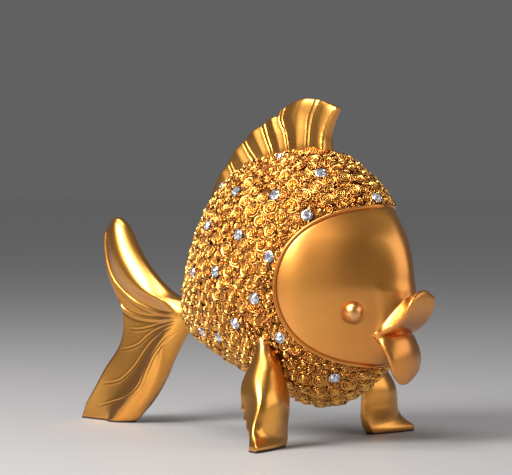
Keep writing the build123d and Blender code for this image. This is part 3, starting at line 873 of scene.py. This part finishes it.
def seam_loop():
    """The closed line of the seam, as evenly spaced places and outward normals."""
    skin = tree_of("body_shell", "face_mask")
    halves = []
    for side in (-1, 1):
        half = []
        for angle in np.linspace(*BEAD_ARC, BEAD_PROBES):
            inner = face_skin(skin, angle, BEAD_RADIUS - BEAD_PROBE_STEP, side)
            outer = face_skin(skin, angle, BEAD_RADIUS + BEAD_PROBE_STEP, side)
            if not inner or not outer:
                continue
            if abs(inner[0][1]) > BEAD_NEAREST_Y[0] and abs(outer[0][1]) > BEAD_NEAREST_Y[1]:
                half.append(np.concatenate([(inner[0] + outer[0]) / 2, inner[1] + outer[1]]))
        halves.append(half)
    loop = evened(np.array(halves[0] + halves[1][::-1]), BEAD_EVENING[0])
    closed = np.vstack([loop, loop[:1]])
    runs = np.linalg.norm(np.diff(closed[:, :3], axis=0), axis=1)
    reached = np.concatenate([[0], np.cumsum(runs)])
    even = np.linspace(0, reached[-1], BEAD_ROWS + 1)[:-1]
    loop = np.stack([np.interp(even, reached, closed[:, axis]) for axis in range(6)], 1)
    return evened(loop, BEAD_EVENING[1])


def make_bead():
    """The raised bead over the seam between the face and the body."""
    loop = seam_loop()
    ahead = np.roll(loop[:, :3], -1, 0) - np.roll(loop[:, :3], 1, 0)
    ahead /= np.linalg.norm(ahead, axis=1)[:, None]
    outward = loop[:, 3:] - (loop[:, 3:] * ahead).sum(1)[:, None] * ahead
    outward /= np.linalg.norm(outward, axis=1)[:, None]
    across = np.cross(outward, ahead)
    turns = np.arange(BEAD_SIDES) * 2 * pi / BEAD_SIDES
    verts = (
        loop[:, None, :3]
        + across[:, None] * (BEAD_HALF_WIDTH * np.cos(turns))[None, :, None]
        + outward[:, None] * (BEAD_HEIGHT * np.sin(turns))[None, :, None]
    ).reshape(-1, 3)
    faces = []
    for row in range(BEAD_ROWS):
        here = row * BEAD_SIDES
        there = (row + 1) % BEAD_ROWS * BEAD_SIDES
        for k in range(BEAD_SIDES):
            after = (k + 1) % BEAD_SIDES
            faces.append((here + k, here + after, there + after, there + k))
    dress(add_mesh("seam_bead", verts, faces), FACE_GOLD, "gold_face", "face_rim")


# Fins


def make_tail():
    """Tail fin: the bar flows into the web, with two raised beads and fine veins."""
    tail = cast_copy("tail", FIN_VOXEL, TAIL_CAST_STEPS, "tail_fin")
    mesh = tail.data
    height = get_verts(mesh)[:, 2]
    fill_creases(mesh, TAIL_FILL_STEPS, rise(height, TAIL_FILL_FROM))
    soften(mesh, TAIL_STEPS, rise(height, TAIL_SOFT_FROM))
    verts = get_verts(mesh)
    x, _, z = verts.T
    normals = get_normals(mesh)
    flank = rise(abs(normals[:, 1]), TAIL_FACING) * rise(z, TAIL_LINES_FROM)
    lines = np.zeros(len(verts))
    for line, (bead_height, half_width) in ((HORN_BEAD, HORN_BEAD_FORM), (SECOND_BEAD, SECOND_BEAD_FORM)):
        distance, share = line_distance(verts, line)
        valley = BEAD_VALLEY[0] * ridge(distance - BEAD_VALLEY[2], BEAD_VALLEY[1])
        lines += (bead_height * ridge(distance, half_width) - valley) * taper(share, BEAD_TAPERS)
    for vein in TAIL_VEINS:
        distance, share = line_distance(verts, vein)
        lip = VEIN_LIP[0] * ridge(distance - VEIN_LIP[2], VEIN_LIP[1])
        groove = VEIN_GROOVE[0] * ridge(distance, VEIN_GROOVE[1])
        lines += (lip - groove) * taper(share, VEIN_TAPERS)
    curl = ((CURL_START_X - x) / CURL_RUN).clip(0, 1) ** 2
    verts[:, 1] -= CURL_AMOUNT * curl * rise(z, CURL_RISES) * fall(z, CURL_FADES)
    distance, share = line_distance(verts, BAR_EDGE)
    lines += BAR_EDGE_FORM[0] * ridge(distance, BAR_EDGE_FORM[1]) * taper(share, BAR_EDGE_TAPERS)
    set_verts(mesh, verts + normals * (lines * flank)[:, None])
    dress(tail, FIN_GOLD, "gold_fins", "tail_fin")


def make_back_fin():
    """Back fin: panels that swell between pairs of engraved ribs."""
    dorsal = cast_copy("back_fin", FIN_VOXEL, FIN_CAST_STEPS, "dorsal_fin")
    mesh = dorsal.data
    fill_creases(mesh, FIN_FILL_STEPS, rise(abs(get_normals(mesh)[:, 1]), FIN_FILL_FACING))
    soften(mesh, FIN_PANEL_STEPS, rise(abs(get_normals(mesh)[:, 1]), FIN_SOFT_FACING))
    soften(mesh, FIN_EDGE_STEPS, np.ones(len(mesh.vertices)))
    verts = get_verts(mesh)
    flank = rise(abs(get_normals(mesh)[:, 1]), FIN_LINES_FACING)
    lines = np.zeros(len(verts))
    nearest = np.full(len(verts), FAR)
    for pair in FIN_RIBS:
        distances = [line_distance(verts, rib)[0] for rib in pair]
        lines -= RIB_DEPTH * (ridge(distances[0], RIB_HALF_WIDTH) + ridge(distances[1], RIB_HALF_WIDTH))
        nearest = np.minimum(nearest, np.minimum(*distances))
    push_out(mesh, (lines + PANEL_SWELL * rise(nearest, PANEL_RISES)) * flank)
    soften(mesh, FIN_FRONT_STEPS, rise(verts[:, 0], FIN_FRONT_X))
    dress(dorsal, FIN_GOLD, "gold_fins", "dorsal_fin")


def cut_notches(mesh):
    """Cuts small notches in the trailing edge of a chest fin."""
    verts = get_verts(mesh)
    x, _, z = verts.T
    edge = [x[abs(z - height) < 1.0].min(initial=LEG_BEHIND_X) for height in LEG_HEIGHTS]
    trailing = fall(x - np.interp(z, LEG_HEIGHTS, edge), NOTCH_DEPTH_X)
    push = np.zeros(len(verts))
    for tip in NOTCHES:
        above_tip = z - tip
        push += rise(above_tip, NOTCH_LOWER_EDGE) * (1 - above_tip / NOTCH_RUN).clip(0, 1) ** 1.5
    set_verts(mesh, verts + (trailing * push)[:, None] * NOTCH_PUSH)


def make_chest_fin(side):
    """A chest fin: a rounded ridge down its front, a crowned panel, and notches in its trailing edge."""
    leg = cast_copy(f"{side}_chest_fin", FIN_VOXEL, LEG_CAST_STEPS, f"{side}_pectoral_fin")
    mesh = leg.data
    fill_creases(mesh, LEG_FILL_STEPS, rise(get_verts(mesh)[:, 2], LEG_FILL_FROM))
    z = get_verts(mesh)[:, 2]
    soften(mesh, LEG_STEPS, rise(z, LEG_SOFT_FROM) * fall(z, LEG_SOFT_FADES))

    corners = np.array(LEG_RIDGE) * (1, 1 if side == "left" else -1, 1)
    shares = np.linspace(0, 1, LEG_RIDGE_SPOTS)[:, None]
    spots = np.vstack([a + shares * (b - a) for a, b in zip(corners, corners[1:])])
    verts = get_verts(mesh)
    z = verts[:, 2]
    distance = np.min([np.linalg.norm(verts - spot, axis=1) for spot in spots], axis=0)
    along_ridge = ridge(distance, LEG_RIDGE_REACH) * rise(z, LEG_RIDGE_FROM) * fall(z, LEG_TOP_FADES)
    soften(mesh, LEG_RIDGE_STEPS, along_ridge)

    z = get_verts(mesh)[:, 2]
    ahead = rise(get_normals(mesh)[:, 0], LEG_PANEL_FACING)
    soften(mesh, LEG_PANEL_STEPS, ahead * rise(z, LEG_PANEL_FROM) * fall(z, LEG_TOP_FADES))

    across_leg = ((abs(get_verts(mesh)[:, 1]) - LEG_CROWN_INNER_Y) / LEG_CROWN_WIDTH).clip(0, 1)
    ahead = rise(get_normals(mesh)[:, 0], LEG_CROWN_FACING)
    relax(mesh, LEG_LAST_STEPS)
    verts = get_verts(mesh)
    z = verts[:, 2]
    crown = np.sin(pi * across_leg) * ahead * rise(z, LEG_CROWN_RISES) * fall(z, LEG_CROWN_FADES)
    verts[:, 0] += LEG_CROWN * crown
    set_verts(mesh, verts)
    cut_notches(mesh)
    dress(leg, FIN_GOLD, "gold_fins", f"{side}_pectoral_fin")


# Roses


def petal(radius, start, sweep, height, lean, steps):
    """One petal of a rosette of unit radius: a thin curved wall that opens outwards and sinks at its ends."""
    verts, lift = [], []
    for index in range(steps + 1):
        share = index / steps
        angle = start + share * sweep
        # The wall is low at its ends and winds outwards along its length.
        top = height * sin(pi * (0.06 + 0.88 * share)) ** 0.45
        reach = radius * (0.86 + 0.22 * share)
        for out, up in (
            (reach, PETAL_ROOT),
            (reach + 0.35 * lean, 0.60 * top),
            (reach + lean, top),
            (reach + lean + PETAL_WALL, top - 0.05),
            (reach + PETAL_WALL, PETAL_ROOT),
        ):
            verts.append((out * cos(angle), out * sin(angle), up))
            lift.append(max(0.0, up))
    faces = [
        (index * 5 + row, index * 5 + 5 + row, index * 5 + 6 + row, index * 5 + 1 + row)
        for index in range(steps)
        for row in range(4)
    ]
    return verts, faces, lift


def rosette(seed, rings, sides):
    """A rosette of unit radius and height: a bud within rings of overlapping petals, on a sunken base."""
    draw = np.random.default_rng(seed)
    verts, faces, lift = [], [], []

    def put(part_verts, part_faces, part_lift):
        start = len(verts)
        verts.extend(part_verts)
        faces.extend([tuple(start + index for index in face) for face in part_faces])
        lift.extend(part_lift)

    turn = draw.uniform(0, 2 * pi)
    for radius, count, height, lean, steps in rings:
        turn += RING_TURN
        for index in range(count):
            start = turn + 2 * pi * index / count + draw.uniform(-PETAL_SHIFT, PETAL_SHIFT)
            sweep = 2 * pi / count * draw.uniform(*PETAL_SWEEPS)
            tall = height * draw.uniform(*PETAL_HEIGHTS)
            put(*petal(radius * draw.uniform(*PETAL_PLACES), start, sweep, tall, lean, steps))
    base, cells = turned_form(1.0, BUD_PROFILE, sides)
    put(base, cells, [max(0.0, up) for out, across, up in base])
    return np.array(verts), faces, np.array(lift)


def cell_of(place):
    """The cell of the search grid that holds a place."""
    return tuple((place // CELL).astype(int))


class Skin:
    """The body's skin, which keeps account of the places that roses have taken."""

    def __init__(self, stones):
        self.body = tree_of("body_shell")
        self.fins = tree_of("dorsal_fin", "tail_fin", "left_pectoral_fin", "right_pectoral_fin")
        self.stones = stones
        self.taken = {}

    def keep(self, place, radius):
        """Marks a place as taken."""
        self.taken.setdefault(cell_of(place), []).append((place, radius))

    def is_free(self, place, radius, spacing):
        """Whether a rosette fits there: clear of others, the face, the stones and the fins."""
        from_face = np.hypot(place[0] - FACE_CENTRE[0], place[2] - FACE_CENTRE[1])
        if from_face < BEAD_RADIUS + BEAD_HALF_WIDTH + FACE_ROOM * max(0.0, radius - FACE_ROOM_FROM):
            return False
        room = NEIGHBOUR_ROOM * radius
        if any(np.linalg.norm(place - stone) < CUP_RADIUS + room for stone, out in self.stones):
            return False
        i, j, k = cell_of(place)
        for key in [(i + a, j + b, k + c) for a in (-1, 0, 1) for b in (-1, 0, 1) for c in (-1, 0, 1)]:
            for other, size in self.taken.get(key, ()):
                if np.linalg.norm(place - other) < spacing * (radius + size):
                    return False
        fin = self.fins.find_nearest(Vector(place * MM), FIN_SEARCH * MM)
        return fin[0] is None or fin[3] > room * MM

    def seen_along(self, up, turn):
        """The place and normal of the skin in a direction from the body's centre, or None."""
        level = sqrt(1 - up * up)
        direction = np.array((BODY_STRETCH * level * cos(turn), level * sin(turn), up))
        direction /= np.linalg.norm(direction)
        hit = self.body.ray_cast(Vector((BODY_CENTRE + OUTSIDE_BODY * direction) * MM), Vector(-direction))
        if hit[0] is None:
            return None
        return np.array(hit[0]) / MM, np.array(hit[1]) * (1 if hit[1].dot(Vector(direction)) > 0 else -1)


def rose_copy(form, place, normal, radius, height, slant):
    """A rosette's form set on the skin, a little varied in size, tilt and turn."""
    tilt = normal + rng.normal(0, slant, 3)
    tilt /= np.linalg.norm(tilt)
    size = radius * rng.uniform(*COPY_SIZES)
    verts, faces, lift = form
    shape = verts * (size, size, height * rng.uniform(*COPY_HEIGHTS))
    return place + shape @ turned_frame(tilt, rng.uniform(0, 2 * pi)), faces, lift


def make_roses(stones):
    """The relief: a large rose on each seat of the CAD, and smaller ones that fill the skin between them."""
    skin = Skin(stones)
    forms = [rosette(seed, LARGE_RINGS, ROSE_SIDES) for seed in range(8)]
    large = []
    for index, (place, normal) in enumerate(seats("rosettes")):
        skin.keep(place, ROSE_RADIUS)
        form = forms[index % len(forms)]
        large.append(rose_copy(form, place, normal, ROSE_RADIUS, ROSE_HEIGHT, ROSE_TILT))
    dress(scatter_mesh("large_roses", large), ROSE_GOLD_AND_SHADE, "gold_relief", "rosettes")

    for number, (radius, height, spacing, tries, highest, widest) in enumerate(FILLER_ROSES):
        rings, sides = (SMALL_RINGS, ROSE_SIDES) if number < 2 else (CURL_RINGS, CURL_SIDES)
        first_seed = 20 + 10 * number
        forms = [rosette(seed, rings, sides) for seed in range(first_seed, first_seed + 6)]
        filler = []
        ups = rng.uniform(-1, highest, tries)
        turns = rng.uniform(-widest, widest, tries)
        for up, turn in zip(ups, turns):
            found = skin.seen_along(up, turn)
            if found and skin.is_free(found[0], radius, spacing):
                skin.keep(found[0], radius)
                filler.append(rose_copy(forms[len(filler) % len(forms)], *found, radius, height, FILLER_TILT))
        for batch, start in enumerate(range(0, len(filler), ROSE_BATCH)):
            name = f"filler_roses_{number}_{batch}"
            dress(scatter_mesh(name, filler[start : start + ROSE_BATCH]), ROSE_GOLD_AND_SHADE, "gold_relief")


# Set stones


def cut_stone():
    """A cut stone with its foot at z 0: a table, eight stars, eight kites and sixteen girdle facets."""
    kite_height = STONE_GIRDLE + STONE_KITE_RISE * (STONE_TABLE_HEIGHT - STONE_GIRDLE)
    verts = around(STONE_TABLE_SHARE * STONE_RADIUS, STONE_TABLE_HEIGHT, 8)
    verts += around(STONE_KITE_SHARE * STONE_RADIUS, kite_height, 8, 0.5)
    for height in (STONE_GIRDLE, 0.0):
        verts += around(STONE_RADIUS, height, 16)
    faces = [tuple(range(8))]
    for k in range(8):
        after = (k + 1) % 8
        before = (k - 1) % 8
        girdle = 16 + 2 * k
        faces.append((k, 8 + k, after))
        faces.append((k, 8 + before, girdle, 8 + k))
        faces.append((8 + k, girdle, girdle + 1))
        faces.append((8 + k, girdle + 1, 16 + (2 * k + 2) % 16))
    faces += [(16 + k, 32 + k, 32 + (k + 1) % 16, 16 + (k + 1) % 16) for k in range(16)]
    faces.append(tuple(32 + k for k in reversed(range(16))))
    return np.array(verts), faces, np.ones(len(verts))


def claw(angle):
    """One claw, bent over the stone: its vertices, and its faces counted from 0."""
    verts = []
    for out, up, half in CLAW_STATIONS:
        for inward in (0.0, CLAW_THICKNESS):
            for aside in (-half, half):
                x = (out - inward) * cos(angle) - aside * sin(angle)
                y = (out - inward) * sin(angle) + aside * cos(angle)
                verts.append((x, y, up - CLAW_SLOPE * inward))
    faces = []
    for a in (0, 4):
        faces += [(a, a + 1, a + 5, a + 4), (a + 1, a + 3, a + 7, a + 5)]
        faces += [(a + 3, a + 2, a + 6, a + 7), (a + 2, a, a + 4, a + 6)]
    faces.append((8, 9, 11, 10))
    return verts, faces


def stone_cup():
    """A round cup with its floor under the stone's foot, and claws bent over the stone."""
    verts = []
    for radius, height in CUP_PROFILE:
        verts += around(radius, height, CUP_SIDES)
    faces = []
    for row in range(len(CUP_PROFILE) - 1):
        here = row * CUP_SIDES
        there = here + CUP_SIDES
        for k in range(CUP_SIDES):
            after = (k + 1) % CUP_SIDES
            faces.append((here + k, here + after, there + after, there + k))
    faces.append(tuple(reversed(range(CUP_SIDES))))
    faces.append(tuple((len(CUP_PROFILE) - 1) * CUP_SIDES + k for k in range(CUP_SIDES)))
    for number in range(CLAWS):
        start = len(verts)
        claw_verts, claw_faces = claw(2 * pi * number / CLAWS + CLAW_TURN)
        verts += claw_verts
        faces += [tuple(start + corner for corner in face) for face in claw_faces]
    return np.array(verts), faces, np.ones(len(verts))


def set_on(form, places):
    """Copies of a form on each of the places, each turned its own way."""
    verts, faces, lift = form
    copies = []
    for index, (place, normal) in enumerate(places):
        copies.append((place + verts @ turned_frame(normal, COPY_TURN * index), faces, lift))
    return copies


def make_stones(stones):
    """Cut stones in their cups."""
    cut = scatter_mesh("cut_stones", set_on(cut_stone(), stones), smooth=False)
    dress(cut, CRYSTAL, "crystal", "rhinestones")
    cups = scatter_mesh("round_cups", set_on(stone_cup(), stones), smooth=False)
    dress(cups, CUP_SILVER, "cup_metal", "stone_cups")


# The fish

make_face()
for side in ("left", "right"):
    make_eye(side)
make_bead()
make_tail()
make_back_fin()
for side in ("left", "right"):
    make_chest_fin(side)
stones = seats("rhinestones")
make_roses(stones)
make_stones(stones)
# The body's skin is a painted shade for the gaps between the roses.
repaint(RECESS_SHADE, "body_shell")
repaint(FELT, "tail_foot_pad", "left_foot_pad", "right_foot_pad")
repaint(PIN_STEEL, "dorsal_pins", "tail_pin", "left_leg_pin", "right_leg_pin")


# Floor, light and camera


def make_floor():
    """A plain pale floor."""
    mesh = bpy.data.meshes.new("floor")
    corners = [(-FLOOR_REACH, -FLOOR_REACH), (FLOOR_REACH, -FLOOR_REACH)]
    corners += [(FLOOR_REACH, FLOOR_REACH), (-FLOOR_REACH, FLOOR_REACH)]
    mesh.from_pydata([(x, y, 0) for x, y in corners], [], [(0, 1, 2, 3)])
    floor = add_object("floor", mesh)
    material, shader, add, link = new_material("pale_floor")
    shader.inputs["Base Color"].default_value = FLOOR_COLOUR
    shader.inputs["Roughness"].default_value = FLOOR_ROUGHNESS
    floor.data.materials.append(material)


def make_world():
    """A world that lights the room evenly. The camera and the gold see it darker, as the floor's far end."""
    world = bpy.data.worlds.new("studio")
    bpy.context.scene.world = world
    world.use_nodes = True
    add = world.node_tree.nodes.new
    link = world.node_tree.links.new
    rays = add("ShaderNodeLightPath")
    seen = rays.outputs["Is Camera Ray"]
    for kind in ("Is Glossy Ray", "Is Transmission Ray"):
        either = add("ShaderNodeMath")
        either.operation = "MAXIMUM"
        link(seen, either.inputs[0])
        link(rays.outputs[kind], either.inputs[1])
        seen = either.outputs["Value"]
    shades = add("ShaderNodeMix")
    shades.data_type = "RGBA"
    shades.inputs["A"].default_value = ROOM_LIGHT
    shades.inputs["B"].default_value = ROOM_SHADE
    link(seen, shades.inputs["Factor"])
    background = world.node_tree.nodes["Background"]
    link(shades.outputs["Result"], background.inputs["Color"])
    background.inputs["Strength"].default_value = 1.0


azimuth = radians(CAMERA_AZIMUTH)
elevation = radians(CAMERA_ELEVATION)
back = Vector((sin(azimuth) * cos(elevation), -cos(azimuth) * cos(elevation), sin(elevation)))
right = Vector((cos(azimuth), sin(azimuth), 0))


def softbox(name, aside, ahead, up, size, power):
    """A soft lamp aimed at the fish: aside to the camera's right, ahead towards the camera and up."""
    lamp = bpy.data.lights.new(name, "AREA")
    lamp.shape = "RECTANGLE"
    lamp.size, lamp.size_y = size
    lamp.energy = power
    holder = add_object(name, lamp)
    level = Vector((back.x, back.y, 0)).normalized()
    holder.location = Vector((CAMERA_TARGET.x, 0, up)) + right * aside + level * ahead
    holder.rotation_euler = (CAMERA_TARGET - holder.location).to_track_quat("-Z", "Y").to_euler()


def make_camera():
    """The camera, at the photograph's viewing angle."""
    lens = bpy.data.cameras.new("camera")
    lens.sensor_width = SENSOR_WIDTH
    lens.lens = LENS
    camera = add_object("camera", lens)
    camera.location = CAMERA_TARGET + back * CAMERA_DISTANCE
    camera.rotation_euler = (-back).to_track_quat("-Z", "Y").to_euler()
    bpy.context.scene.camera = camera


make_floor()
make_world()
for lamp in LAMPS:
    softbox(*lamp)
make_camera()
bpy.context.scene.view_settings.view_transform = "Standard"
